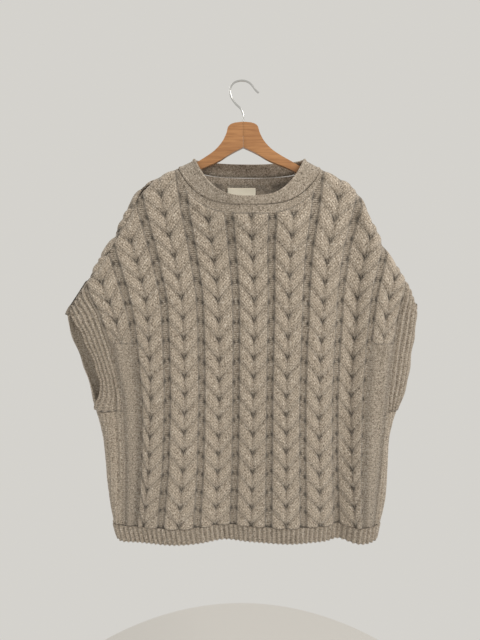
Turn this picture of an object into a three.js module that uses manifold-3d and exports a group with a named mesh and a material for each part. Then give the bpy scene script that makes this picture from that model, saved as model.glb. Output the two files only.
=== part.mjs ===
// A knitted sleeveless poncho hanging on a wooden clothes hanger.
// Millimetres, +Z up, +X to the right, the front of the poncho towards -Y.
// The origin is the inside top of the hanger's hook, where a rail or a peg carries it.
//
// The front and the back are two flat knitted panels joined along the shoulders and the sides.
// Each point of the cloth is named by its place on the flat panel, and clothPoint rolls the panel
// over the shoulder and side edges and adds the folds, so that neighbouring pieces share one surface.

import * as THREE from "three";
import { mergeVertices } from "three/addons/utils/BufferGeometryUtils.js";
import Module from "manifold-3d";

const wasm = await Module();
wasm.setup();

// Driving dimensions
const clothThickness = 5;
const seamGap = 0.3;
const bentSeamGap = 1.4; // where the wall bends at the seam, its inner face comes closer
const edgeRadius = 20; // how tightly the front turns into the back along shoulders and sides
const quarterRoll = (Math.PI / 2) * edgeRadius;
const flatAllowance = quarterRoll - edgeRadius; // how far the flat panel reaches past the edge seen

const underarmLevel = -643;
const hemRibTop = -893;
const hemLevel = -927;
const rolledSeam = 22; // how far the left shoulder seam has rolled onto the front

const neckCornerLeft = -123;
const neckCornerRight = 147;
const neckEdgeCentre = 12.5;
const neckEdgeHalfWidth = 105;
const neckEdgeSideLevel = -141;
const neckEdgeFrontDrop = 74;
const neckEdgeBackDrop = 4;
const neckEdgeFrontDepth = 44;
const neckEdgeBackDepth = 33;
const neckSeamFrontDrop = 84;
const neckSeamBackDrop = 25;

const woodThickness = 13;
const hangerTilt = THREE.MathUtils.degToRad(1);
const hangerShift = -1.5; // brings the tilted hanger back under its hook
const hookWireRadius = 2;
const hookBoreRadius = 2.3;
const hookFoot = -98;

const labelWidth = 58;
const labelHeight = 22;
const labelTop = -192;
const labelCentre = -3;
const labelThickness = 1;

// The outline of the hanging cloth: up the left side, over both shoulders, down the right side.
const outlineRows = [
  { x: -260, z: -975 },
  { x: -269, z: -935 },
  { x: -278, z: -900 },
  { x: -288, z: -818 },
  { x: -292, z: -729 },
  { x: -299, z: -675 },
  { x: -308, z: -640 },
  { x: -320, z: -606 },
  { x: -336, z: -570 },
  { x: -350, z: -535 },
  { x: -361, z: -500 },
  { x: -365, z: -472 },
  { x: -355, z: -443 },
  { x: -337, z: -416 },
  { x: -314, z: -382 },
  { x: -280, z: -327 },
  { x: -262, z: -299 },
  { x: -241, z: -265 },
  { x: -222, z: -231 },
  { x: -210, z: -208 },
  { x: -192, z: -190 },
  { x: -159, z: -173 },
  { x: -123, z: -156 },
  { x: -92, z: -141 },
  { x: -40, z: -124 },
  { x: 12, z: -119 },
  { x: 64, z: -124 },
  { x: 116, z: -141 },
  { x: 162, z: -165 },
  { x: 196, z: -183 },
  { x: 221, z: -202 },
  { x: 235, z: -222 },
  { x: 247, z: -248 },
  { x: 266, z: -284 },
  { x: 285, z: -317 },
  { x: 315, z: -361 },
  { x: 335, z: -391 },
  { x: 347, z: -424 },
  { x: 350, z: -455 },
  { x: 347, z: -497 },
  { x: 342, z: -544 },
  { x: 337, z: -590 },
  { x: 325, z: -630 },
  { x: 314, z: -672 },
  { x: 308, z: -709 },
  { x: 308, z: -776 },
  { x: 306, z: -844 },
  { x: 296, z: -897 },
  { x: 290, z: -935 },
  { x: 283, z: -975 },
];

// Where the upright lines of stitches run on each flat panel: at each level, the place of the left
// armhole seam, of the third cable column to the left, the middle one, the third to the right and
// the right armhole seam. Line numbers are counted in cable columns from the middle one.
const waleNumbers = { leftSeam: -4.5, leftThird: -3, middle: 0, rightThird: 3, rightSeam: 4.5 };
const waleRows = {
  front: [
    { z: -120, leftSeam: -405, leftThird: -262, middle: 11, rightThird: 290, rightSeam: 425 },
    { z: -240, leftSeam: -366, leftThird: -237, middle: 15, rightThird: 262, rightSeam: 382 },
    { z: -316, leftSeam: -338, leftThird: -214, middle: 18, rightThird: 240, rightSeam: 350 },
    { z: -400, leftSeam: -310, leftThird: -194, middle: 22, rightThird: 228, rightSeam: 322 },
    { z: -442, leftSeam: -289, leftThird: -190, middle: 22, rightThird: 227, rightSeam: 313 },
    { z: -505, leftSeam: -271, leftThird: -188, middle: 22, rightThird: 224, rightSeam: 306 },
    { z: -615, leftSeam: -248, leftThird: -187, middle: 21, rightThird: 222, rightSeam: 298 },
    { z: -760, leftSeam: -246, leftThird: -195, middle: 20, rightThird: 228, rightSeam: 290 },
    { z: -930, leftSeam: -254, leftThird: -215, middle: 17, rightThird: 241, rightSeam: 280 },
  ],
  back: [
    { z: -120, leftSeam: -405, leftThird: -262, middle: 11, rightThird: 290, rightSeam: 425 },
    { z: -240, leftSeam: -366, leftThird: -237, middle: 15, rightThird: 262, rightSeam: 382 },
    { z: -316, leftSeam: -338, leftThird: -214, middle: 18, rightThird: 240, rightSeam: 350 },
    { z: -400, leftSeam: -310, leftThird: -194, middle: 22, rightThird: 228, rightSeam: 322 },
    { z: -442, leftSeam: -310, leftThird: -196, middle: 20, rightThird: 224, rightSeam: 301 },
    { z: -505, leftSeam: -308, leftThird: -194, middle: 20, rightThird: 222, rightSeam: 294 },
    { z: -615, leftSeam: -280, leftThird: -190, middle: 20, rightThird: 220, rightSeam: 286 },
    { z: -760, leftSeam: -252, leftThird: -195, middle: 19, rightThird: 228, rightSeam: 282 },
    { z: -930, leftSeam: -254, leftThird: -215, middle: 17, rightThird: 241, rightSeam: 278 },
  ],
};

// The free edge of each armhole band, as places on the flat front and back panels.
const armholeEdges = {
  left: [
    { z: -460, front: -333, back: -362 },
    { z: -480, front: -321, back: -358 },
    { z: -503, front: -313, back: -352 },
    { z: -541, front: -298, back: -338 },
    { z: -578, front: -289, back: -327 },
    { z: -610, front: -292, back: -320 },
    { z: -643, front: -311, back: -315 },
  ],
  right: [
    { z: -455, front: 358, back: 345 },
    { z: -480, front: 357, back: 339 },
    { z: -503, front: 354, back: 335 },
    { z: -541, front: 349, back: 329 },
    { z: -578, front: 345, back: 325 },
    { z: -610, front: 337, back: 322 },
    { z: -643, front: 329, back: 325 },
  ],
};

// The largest folds: each runs from an upper to a lower point, and stands out or sinks by a depth.
const folds = {
  front: [
    { topX: 12, topZ: -215, lowX: 12, lowZ: -240, width: 95, topDepth: 26, lowDepth: 26, fade: 95 },
    { topX: 220, topZ: -262, lowX: 204, lowZ: -960, width: 20, topDepth: -9, lowDepth: -13, fade: 40 },
    { topX: 258, topZ: -330, lowX: 250, lowZ: -960, width: 26, topDepth: 3, lowDepth: 11, fade: 60 },
    { topX: 110, topZ: -420, lowX: 93, lowZ: -960, width: 55, topDepth: 2, lowDepth: 11, fade: 90 },
    { topX: -30, topZ: -520, lowX: -40, lowZ: -960, width: 34, topDepth: -1, lowDepth: -10, fade: 90 },
    { topX: -150, topZ: -420, lowX: -140, lowZ: -960, width: 60, topDepth: 2, lowDepth: 14, fade: 90 },
    { topX: -222, topZ: -262, lowX: -196, lowZ: -420, width: 18, topDepth: -5, lowDepth: -1, fade: 40 },
    { topX: -262, topZ: -480, lowX: -262, lowZ: -880, width: 9, topDepth: -5, lowDepth: -4, fade: 60 },
    { topX: 286, topZ: -500, lowX: 292, lowZ: -790, width: 12, topDepth: 5, lowDepth: 3, fade: 60 },
  ],
  back: [
    { topX: 12, topZ: -175, lowX: 12, lowZ: -190, width: 95, topDepth: 13, lowDepth: 13, fade: 60 },
    { topX: -205, topZ: -300, lowX: -170, lowZ: -960, width: 40, topDepth: -5, lowDepth: -7, fade: 60 },
    { topX: -80, topZ: -420, lowX: -60, lowZ: -960, width: 55, topDepth: 3, lowDepth: 8, fade: 90 },
    { topX: 60, topZ: -430, lowX: 80, lowZ: -960, width: 38, topDepth: -2, lowDepth: -6, fade: 90 },
    { topX: 190, topZ: -300, lowX: 205, lowZ: -960, width: 48, topDepth: 3, lowDepth: 8, fade: 70 },
  ],
};

// The hanger's outline, one half, without the tilt.
const hangerTopRows = [
  { x: 0, z: -73.5 },
  { x: 18, z: -75.5 },
  { x: 28, z: -81.5 },
  { x: 31.5, z: -93 },
  { x: 40, z: -109 },
  { x: 54, z: -124 },
  { x: 70, z: -135 },
  { x: 91, z: -147 },
  { x: 123, z: -165 },
  { x: 159, z: -183 },
  { x: 184, z: -196.5 },
  { x: 192, z: -202 },
];
const hangerLowRows = [
  { x: 194, z: -209 },
  { x: 187, z: -211.5 },
  { x: 160, z: -198 },
  { x: 100, z: -167.5 },
  { x: 80, z: -158 },
  { x: 50, z: -146 },
  { x: 24, z: -131 },
  { x: 0, z: -120 },
];

const hookRows = [
  { x: 0, z: hookFoot },
  { x: 0, z: -76 },
  { x: 0.6, z: -61 },
  { x: -4, z: -49 },
  { x: -14.5, z: -39 },
  { x: -22, z: -28 },
  { x: -24.5, z: -17 },
  { x: -22, z: -7 },
  { x: -15, z: -0.6 },
  { x: -6, z: 1.9 },
  { x: 3, z: 1.8 },
  { x: 11.5, z: -1.4 },
  { x: 18.5, z: -8 },
  { x: 24, z: -15 },
  { x: 30, z: -20 },
];

const knit = new THREE.MeshStandardMaterial({ color: 0x958a79, roughness: 0.95, metalness: 0 });
const wood = new THREE.MeshStandardMaterial({ color: 0xc2864f, roughness: 0.5, metalness: 0 });
const chrome = new THREE.MeshStandardMaterial({ color: 0xc8c8c6, roughness: 0.2, metalness: 1 });
const labelCloth = new THREE.MeshStandardMaterial({ color: 0xd9cfba, roughness: 0.8, metalness: 0 });

const poncho = new THREE.Group();

function addPiece(name, geometry, material) {
  const mesh = new THREE.Mesh(geometry, material);
  mesh.name = name;
  poncho.add(mesh);
  return mesh;
}

// Reads a table: the value of one column at a level, in straight lines between the rows.
function readRows(rows, level, column) {
  let index = rows.findIndex((row) => row.z <= level);
  if (index < 0) index = rows.length - 1;
  if (index === 0) index = 1;
  const above = rows[index - 1];
  const below = rows[index];
  const share = (level - above.z) / (below.z - above.z);
  return above[column] + share * (below[column] - above[column]);
}

function waleX(side, wale, level) {
  const names = Object.keys(waleNumbers);
  let index = names.findIndex((name) => wale <= waleNumbers[name]);
  if (index < 0) index = names.length - 1;
  if (index === 0) index = 1;
  const [from, to] = [names[index - 1], names[index]];
  const share = (wale - waleNumbers[from]) / (waleNumbers[to] - waleNumbers[from]);
  const fromX = readRows(waleRows[side], level, from);
  const toX = readRows(waleRows[side], level, to);
  return fromX + share * (toX - fromX);
}

// The line of stitches through a place, found by halving.
function waleAt(side, x, z) {
  let low = -8;
  let high = 8;
  for (let step = 0; step < 40; step += 1) {
    const middle = (low + high) / 2;
    if (waleX(side, middle, z) < x) low = middle;
    else high = middle;
  }
  return (low + high) / 2;
}

const outlineCurve = new THREE.SplineCurve(outlineRows.map((row) => new THREE.Vector2(row.x, row.z)));
const outline = outlineCurve.getPoints(outlineRows.length * 6);

// The outline's nearest point to a place, the way in from it, and how far in the place is.
function nearestEdge(x, z) {
  let best = { square: Infinity };
  for (let i = 0; i + 1 < outline.length; i += 1) {
    const start = outline[i];
    const along = { x: outline[i + 1].x - start.x, z: outline[i + 1].y - start.y };
    const lengthSquare = along.x * along.x + along.z * along.z;
    const reach = ((x - start.x) * along.x + (z - start.y) * along.z) / lengthSquare;
    const share = THREE.MathUtils.clamp(reach, 0, 1);
    const foot = { x: start.x + share * along.x, z: start.y + share * along.z };
    const square = (x - foot.x) ** 2 + (z - foot.z) ** 2;
    if (square < best.square) best = { square, foot, along, length: Math.sqrt(lengthSquare) };
  }
  const inward = { x: best.along.z / best.length, z: -best.along.x / best.length };
  const inset = (x - best.foot.x) * inward.x + (z - best.foot.z) * inward.z;
  const distance = Math.sqrt(best.square) * Math.sign(inset || 1);
  if (Math.abs(distance) > 1e-6) {
    inward.x = (x - best.foot.x) / distance;
    inward.z = (z - best.foot.z) / distance;
  }
  return { foot: best.foot, inward, distance };
}

// A place on the flat panel, at one level of the left or right edge and so far in from the edge.
function insideEdge(level, isLeft, inset) {
  const highest = outline.reduce((top, point, i) => (point.y > outline[top].y ? i : top), 0);
  let index = isLeft ? 0 : highest;
  const passed = (i) => (isLeft ? outline[i + 1].y >= level : outline[i + 1].y <= level);
  while (index + 2 < outline.length && !passed(index)) index += 1;
  const [from, to] = [outline[index], outline[index + 1]];
  const share = (level - from.y) / (to.y - from.y);
  const length = from.distanceTo(to);
  const inward = { x: (to.y - from.y) / length, z: -(to.x - from.x) / length };
  const reach = inset - flatAllowance;
  const x = from.x + share * (to.x - from.x) + inward.x * reach;
  return { x, z: level + inward.z * reach, steep: Math.abs(inward.z) };
}

function foldDepth(side, x, z) {
  let depth = 0;
  for (const fold of folds[side]) {
    const share = THREE.MathUtils.clamp((z - fold.topZ) / (fold.lowZ - fold.topZ), 0, 1);
    const across = (x - THREE.MathUtils.lerp(fold.topX, fold.lowX, share)) / fold.width;
    const beyond = Math.max(z - fold.topZ, fold.lowZ - z, 0) / fold.fade;
    const height = THREE.MathUtils.lerp(fold.topDepth, fold.lowDepth, share);
    depth += height * Math.exp(-across * across - 3 * beyond * beyond);
  }
  return depth;
}

// The outer face of the cloth at a place on a flat panel. A place past the edge is on the other side.
function clothPoint(side, x, z) {
  const edge = nearestEdge(x, z);
  const inset = edge.distance + flatAllowance;
  const faces = (side === "front" ? -1 : 1) * (inset < 0 ? -1 : 1);
  const turn = Math.min(Math.abs(inset) / edgeRadius, Math.PI / 2);
  const past = Math.max(Math.abs(inset) - quarterRoll, 0);
  const fromEdge = edgeRadius * (1 - Math.cos(turn)) + past;
  const shownSide = faces < 0 ? "front" : "back";
  const calm = THREE.MathUtils.smoothstep(Math.abs(inset), 0, 1.3 * quarterRoll);
  const placed = new THREE.Vector3();
  placed.x = edge.foot.x + edge.inward.x * fromEdge;
  placed.z = edge.foot.z + edge.inward.z * fromEdge;
  const depth = edgeRadius * Math.sin(turn) + calm * foldDepth(shownSide, placed.x, placed.z);
  placed.y = faces * depth;
  return placed;
}

// A wall of cloth from a grid of outer points: cells lists which of the grid's cells are cloth, and
// the wall reaches from outerOffset to innerOffset below the points, along their normals.
function clothWall(grid, normals, cells, outerOffset, innerOffset, closed = false) {
  const columns = grid.length;
  const rows = grid[0].length;
  const positions = [];
  const indices = [];
  for (const offset of [outerOffset, innerOffset]) {
    for (let i = 0; i < columns; i += 1) {
      for (let j = 0; j < rows; j += 1) {
        positions.push(...grid[i][j].clone().addScaledVector(normals[i][j], -offset).toArray());
      }
    }
  }
  const layer = columns * rows;
  const at = (i, j) => (i % columns) * rows + j;
  const has = (i, j) => {
    const column = closed ? (i + columns) % columns : i;
    return column >= 0 && column < cells.length && j >= 0 && j < rows - 1 && cells[column][j];
  };
  const quad = (a, b, c, d) => indices.push(a, b, c, a, c, d);
  for (let i = 0; i < cells.length; i += 1) {
    for (let j = 0; j < rows - 1; j += 1) {
      if (!cells[i][j]) continue;
      const [a, b, c, d] = [at(i, j), at(i + 1, j), at(i + 1, j + 1), at(i, j + 1)];
      quad(a, b, c, d);
      quad(d + layer, c + layer, b + layer, a + layer);
      if (!has(i, j - 1)) quad(b, a, a + layer, b + layer);
      if (!has(i, j + 1)) quad(d, c, c + layer, d + layer);
      if (!has(i - 1, j)) quad(a, d, d + layer, a + layer);
      if (!has(i + 1, j)) quad(c, b, b + layer, c + layer);
    }
  }
  return closedGeometry(positions, indices);
}

// A geometry of the vertices in use, turned so that its faces point out.
function closedGeometry(positions, indices) {
  const corner = (index) => new THREE.Vector3().fromArray(positions, 3 * index);
  let volume = 0;
  for (let i = 0; i < indices.length; i += 3) {
    const [a, b, c] = [corner(indices[i]), corner(indices[i + 1]), corner(indices[i + 2])];
    volume += a.dot(b.cross(c));
  }
  const turned = volume < 0 ? indices.toReversed() : indices;
  const number = new Map();
  const used = [];
  const renumbered = turned.map((index) => {
    if (!number.has(index)) {
      number.set(index, number.size);
      used.push(...positions.slice(3 * index, 3 * index + 3));
    }
    return number.get(index);
  });
  const geometry = new THREE.BufferGeometry();
  geometry.setAttribute("position", new THREE.Float32BufferAttribute(used, 3));
  geometry.setIndex(renumbered);
  geometry.computeVertexNormals();
  return geometry;
}

// The way out of the cloth at a place, from two short steps on the surface.
function clothNormal(side, x, z, pointAt = clothPoint) {
  const step = 0.5;
  const here = pointAt(side, x, z);
  const across = pointAt(side, x + step, z).sub(here);
  const up = pointAt(side, x, z + step).sub(here);
  const normal = across.cross(up).normalize();
  return side === "front" ? normal : normal.negate();
}

function clothWallFromPlaces(side, places, cells, outerOffset, innerOffset) {
  const grid = places.map((column) => column.map((place) => clothPoint(side, place.x, place.z)));
  const normals = places.map((column) => column.map((place) => clothNormal(side, place.x, place.z)));
  return clothWall(grid, normals, cells, outerOffset, innerOffset);
}

// The neck seam on a flat panel: turn runs from 0 at the right corner to PI at the left one.
const neckCorners = {
  left: insideEdge(readNeckLevel(neckCornerLeft), true, 0),
  right: insideEdge(readNeckLevel(neckCornerRight), false, 0),
};

function readNeckLevel(x) {
  const index = outline.findIndex((point) => point.x >= x && point.y > -400);
  return outline[index].y;
}

function neckSeamPlace(side, turn, trim) {
  const across = Math.cos(turn);
  const { left, right } = neckCorners;
  const x = (left.x + right.x) / 2 + across * ((right.x - left.x) / 2 + trim);
  const sideLevel = THREE.MathUtils.lerp(left.z, right.z, (1 + across) / 2);
  const hollow = Math.max(1 - Math.abs(across) ** 3, 0) ** 0.75;
  const drop = side === "front" ? neckSeamFrontDrop : neckSeamBackDrop;
  return { x, z: sideLevel - drop * hollow - trim * Math.sin(turn) };
}

// The shoulder seam's distance in from the edge: the left one has rolled onto the front.
function shoulderSeamInset(side, isLeft, share) {
  if (!isLeft) return seamGap / 2;
  const ends = THREE.MathUtils.smoothstep(share, 0, 0.2) * THREE.MathUtils.smoothstep(1 - share, 0, 0.2);
  const rolled = rolledSeam * ends;
  return side === "front" ? rolled + seamGap / 2 : seamGap / 2 - rolled;
}

// The level at which a line of stitches meets the shoulder edge.
function waleTopLevel(side, wale, isLeft) {
  let low = -470;
  let high = -160;
  for (let step = 0; step < 40; step += 1) {
    const middle = (low + high) / 2;
    const place = insideEdge(middle, isLeft, seamGap / 2);
    const outside = isLeft ? place.x < waleX(side, wale, place.z) : place.x > waleX(side, wale, place.z);
    if (outside) low = middle;
    else high = middle;
  }
  return (low + high) / 2;
}

const shoulderSteps = 8;
const neckSteps = 14;
const sideSteps = 4;
const upperRows = 11;
const lowerRows = 7;
const rollRows = [0, 0.25, 0.55, 1];

// The tops of the stitch lines of one panel, from the left armhole seam to the right one.
function panelTops(side) {
  const tops = [];
  const armholeLevel = {
    left: waleTopLevel(side, waleNumbers.leftSeam, true),
    right: waleTopLevel(side, waleNumbers.rightSeam, false),
  };
  const shoulderPlace = (isLeft, share) => {
    const start = isLeft ? armholeLevel.left : armholeLevel.right;
    const cornerLevel = readNeckLevel(isLeft ? neckCornerLeft : neckCornerRight) - seamGap;
    const level = THREE.MathUtils.lerp(start, cornerLevel, share);
    return insideEdge(level, isLeft, shoulderSeamInset(side, isLeft, share));
  };
  for (let i = 0; i <= shoulderSteps; i += 1) tops.push(shoulderPlace(true, i / shoulderSteps));
  for (let i = neckSteps - 1; i > 0; i -= 1) {
    tops.push({ ...neckSeamPlace(side, (Math.PI * i) / neckSteps, bentSeamGap), steep: 1 });
  }
  for (let i = shoulderSteps; i >= 0; i -= 1) tops.push(shoulderPlace(false, i / shoulderSteps));
  return tops;
}

// The places of one column of the panel, from its top down to the underarm level and to the hem rib.
function panelColumn(side, top) {
  const wale = waleAt(side, top.x, top.z);
  const column = [];
  const rollDepth = quarterRoll / Math.max(top.steep, 0.45);
  for (let j = 0; j <= upperRows; j += 1) {
    let z = top.z - rollRows[Math.min(j, 3)] * rollDepth;
    if (j > 3) z = THREE.MathUtils.lerp(z, underarmLevel, (j - 3) / (upperRows - 3));
    column.push({ x: j === 0 ? top.x : waleX(side, wale, z), z });
  }
  for (let j = 1; j <= lowerRows; j += 1) {
    const z = THREE.MathUtils.lerp(underarmLevel, hemRibTop, j / lowerRows);
    column.push({ x: waleX(side, wale, z), z });
  }
  return column;
}

// The places between the armhole seam's line and the side seam, level by level.
function sideColumn(side, isLeft, share, levels) {
  return levels.map((level) => {
    const seam = insideEdge(level, isLeft, seamGap / 2);
    const wale = isLeft ? waleNumbers.leftSeam : waleNumbers.rightSeam;
    const inner = waleX(side, wale, level);
    return { x: THREE.MathUtils.lerp(inner, seam.x, share), z: THREE.MathUtils.lerp(level, seam.z, share) };
  });
}

function panelPlaces(side) {
  const columns = panelTops(side).map((top) => panelColumn(side, top));
  const levels = columns[0].map((place) => place.z);
  const outer = (isLeft) => {
    const made = [];
    for (let i = 1; i <= sideSteps; i += 1) made.push(sideColumn(side, isLeft, i / sideSteps, levels));
    return made;
  };
  return [...outer(true).reverse(), ...columns, ...outer(false)];
}

function panelGeometry(side) {
  const places = panelPlaces(side);
  const cells = [];
  for (let i = 0; i + 1 < places.length; i += 1) {
    const isSide = i < sideSteps || i >= places.length - 1 - sideSteps;
    cells.push(places[0].slice(1).map((place, j) => !isSide || j >= upperRows));
  }
  return clothWallFromPlaces(side, places, cells, 0, clothThickness);
}

// The hem rib carries on below the panel, over the same columns.
function hemRibGeometry(side) {
  const levels = [hemRibTop - seamGap, (hemRibTop + hemLevel) / 2, hemLevel];
  const bottoms = panelPlaces(side).map((column) => column.at(-1));
  const places = bottoms.map((bottom, i) => {
    const isEnd = i === 0 || i === bottoms.length - 1;
    if (isEnd) return levels.map((level) => insideEdge(level, i === 0, seamGap / 2));
    const left = insideEdge(hemRibTop, true, seamGap / 2).x;
    const right = insideEdge(hemRibTop, false, seamGap / 2).x;
    const share = (bottom.x - left) / (right - left);
    return levels.map((level) => {
      const from = insideEdge(level, true, seamGap / 2);
      const to = insideEdge(level, false, seamGap / 2);
      const endLift = THREE.MathUtils.lerp(from.z, to.z, share) - level;
      return { x: THREE.MathUtils.lerp(from.x, to.x, share), z: level + endLift };
    });
  });
  const cells = places.slice(1).map(() => [true, true]);
  return clothWallFromPlaces(side, places, cells, 0, clothThickness);
}

// An armhole band: a strip from the underarm up the front, over the shoulder and down the back.
// It follows the panels' own armhole edges, level by level.
function armholeBandGeometry(isLeft) {
  const stripSteps = 4;
  const edges = armholeEdges[isLeft ? "left" : "right"];
  const outward = isLeft ? -1 : 1;
  const tipLevel = edges[0].z + 14;
  const grid = [];
  const normals = [];
  for (const side of ["front", "back"]) {
    const places = panelPlaces(side);
    const edge = places[isLeft ? sideSteps : places.length - 1 - sideSteps].slice(0, upperRows + 1);
    const run = side === "front" ? edge.toReversed() : edge;
    for (const seam of run) {
      const isTop = seam === edge[0];
      const isFoot = seam === edge[upperRows];
      const points = [];
      const outs = [];
      for (let j = 0; j <= stripSteps; j += 1) {
        const share = j / stripSteps;
        const level = seam.z + (isFoot ? seamGap : 0);
        const free = readRows(edges, Math.min(level, edges[0].z), side);
        const climb = THREE.MathUtils.clamp((level - edges[0].z) / (edge[0].z - edges[0].z), 0, 1);
        const freeTop = insideEdge(tipLevel, isLeft, seamGap / 2);
        const start = { x: seam.x + outward * bentSeamGap, z: level };
        const end = { x: THREE.MathUtils.lerp(free, freeTop.x, climb), z: 0 };
        end.z = THREE.MathUtils.lerp(level, freeTop.z, climb);
        let place = { x: THREE.MathUtils.lerp(start.x, end.x, share), z: 0 };
        place.z = THREE.MathUtils.lerp(start.z, end.z, share);
        if (isTop && j > 0) {
          const ridge = THREE.MathUtils.lerp(topLevelOf(start), tipLevel, share);
          place = insideEdge(ridge, isLeft, seamGap / 2);
        }
        points.push(clothPoint(side, place.x, place.z));
        outs.push(clothNormal(side, place.x, place.z));
      }
      grid.push(points);
      normals.push(outs);
    }
  }
  const cells = grid.slice(1).map(() => Array(stripSteps).fill(true));
  return clothWall(grid, normals, cells, 0, clothThickness);
}

// The level of the outline's point nearest to a place.
function topLevelOf(place) {
  return nearestEdge(place.x, place.z).foot.z;
}

// The neckband: a ring of cloth from the neck seam up to the free edge that stands round the neck.
function neckbandGeometry() {
  const turnSteps = 2 * neckSteps;
  const heightSteps = 3;
  const ringPoint = (turn, share) => {
    const isFront = Math.sin(turn) < 0;
    const side = isFront ? "front" : "back";
    const seam = neckSeamPlace(side, Math.acos(Math.cos(turn)), 0);
    const low = clothPoint(side, seam.x, seam.z);
    const across = Math.cos(turn);
    const round = 1 - across * across;
    const hollow = Math.max(1 - Math.abs(across) ** 3, 0);
    const drop = isFront ? neckEdgeFrontDrop * hollow : neckEdgeBackDrop * round;
    const depth = isFront ? -neckEdgeFrontDepth * round ** 0.38 : neckEdgeBackDepth * round ** 0.35;
    const high = new THREE.Vector3();
    high.x = neckEdgeCentre + neckEdgeHalfWidth * across;
    high.y = depth;
    high.z = neckEdgeSideLevel - drop;
    const point = low.lerp(high, share);
    point.y += Math.sign(depth || 1) * 3 * Math.sin(Math.PI * share) * round;
    return point;
  };
  const grid = [];
  const normals = [];
  for (let i = 0; i < turnSteps; i += 1) {
    const turn = (2 * Math.PI * i) / turnSteps;
    const points = [];
    const outs = [];
    for (let j = 0; j <= heightSteps; j += 1) {
      const share = j / heightSteps;
      const here = ringPoint(turn, share);
      const along = ringPoint(turn + 0.02, share).sub(ringPoint(turn - 0.02, share));
      const up = ringPoint(turn, share + 0.05).sub(ringPoint(turn, share - 0.05));
      points.push(here);
      outs.push(along.cross(up).normalize());
    }
    const side = Math.sin(turn) < 0 ? "front" : "back";
    const seam = neckSeamPlace(side, Math.acos(Math.cos(turn)), 0);
    outs[0] = clothNormal(side, seam.x, seam.z);
    grid.push(points);
    normals.push(outs);
  }
  const cells = grid.map(() => Array(heightSteps).fill(true));
  return clothWall(grid, normals, cells, 0, clothThickness, true);
}

// The sewn-in label lies on the inner face of the back panel, under the neckband.
function labelGeometry() {
  const places = [];
  for (let i = 0; i <= 6; i += 1) {
    const x = labelCentre + labelWidth * (i / 6 - 0.5);
    places.push([0, 1, 2].map((j) => ({ x, z: labelTop - (labelHeight * j) / 2 })));
  }
  const cells = places.slice(1).map(() => [true, true]);
  const near = clothThickness + 1;
  return clothWallFromPlaces("back", places, cells, near, near + labelThickness);
}

// Turns a geometry into a solid that can be cut, and back.
function solidOf(geometry) {
  const bare = geometry.clone();
  bare.deleteAttribute("normal");
  bare.deleteAttribute("uv");
  const merged = mergeVertices(bare, 1e-4);
  const vertProperties = new Float32Array(merged.attributes.position.array);
  const triVerts = new Uint32Array(merged.index.array);
  return new wasm.Manifold(new wasm.Mesh({ numProp: 3, vertProperties, triVerts }));
}

function geometryOf(solid) {
  const mesh = solid.getMesh();
  const geometry = new THREE.BufferGeometry();
  geometry.setAttribute("position", new THREE.BufferAttribute(mesh.vertProperties, 3));
  geometry.setIndex(new THREE.BufferAttribute(mesh.triVerts, 1));
  geometry.computeVertexNormals();
  return geometry;
}

// One half of the wooden hanger, with half of the hole for the hook's stem.
function hangerHalfGeometry(isLeft) {
  const outward = isLeft ? -1 : 1;
  const joint = seamGap / 2;
  const placeOf = (row) => new THREE.Vector2(outward * Math.max(row.x, joint), row.z);
  const top = new THREE.SplineCurve(hangerTopRows.map(placeOf)).getPoints(26);
  const low = new THREE.SplineCurve(hangerLowRows.map(placeOf)).getPoints(16);
  const shape = new THREE.Shape([...top, ...low]);
  const body = new THREE.ExtrudeGeometry(shape, { depth: woodThickness, bevelEnabled: false });
  body.translate(0, 0, -woodThickness / 2);
  body.rotateX(Math.PI / 2);
  body.rotateY(-hangerTilt);
  body.translate(hangerShift, 0, 0);
  const bore = new THREE.CylinderGeometry(hookBoreRadius, hookBoreRadius, 60, 24);
  bore.rotateX(Math.PI / 2);
  bore.translate(0, 0, hookFoot - seamGap + 30);
  return geometryOf(solidOf(body).subtract(solidOf(bore)));
}

function hookGeometry() {
  const path = new THREE.CatmullRomCurve3(hookRows.map((row) => new THREE.Vector3(row.x, 0, row.z)));
  const section = new THREE.Shape();
  section.absarc(0, 0, hookWireRadius, 0, 2 * Math.PI, false);
  return new THREE.ExtrudeGeometry(section, { steps: 72, curveSegments: 5, extrudePath: path });
}

addPiece("front_panel", panelGeometry("front"), knit);
addPiece("back_panel", panelGeometry("back"), knit);
addPiece("front_hem_rib", hemRibGeometry("front"), knit);
addPiece("back_hem_rib", hemRibGeometry("back"), knit);
addPiece("armhole_band_left", armholeBandGeometry(true), knit);
addPiece("armhole_band_right", armholeBandGeometry(false), knit);
addPiece("neckband", neckbandGeometry(), knit);
addPiece("neck_label", labelGeometry(), labelCloth);
addPiece("hanger_arm_left", hangerHalfGeometry(true), wood);
addPiece("hanger_arm_right", hangerHalfGeometry(false), wood);
addPiece("hanger_hook", hookGeometry(), chrome);

export default poncho;
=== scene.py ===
import math

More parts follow.
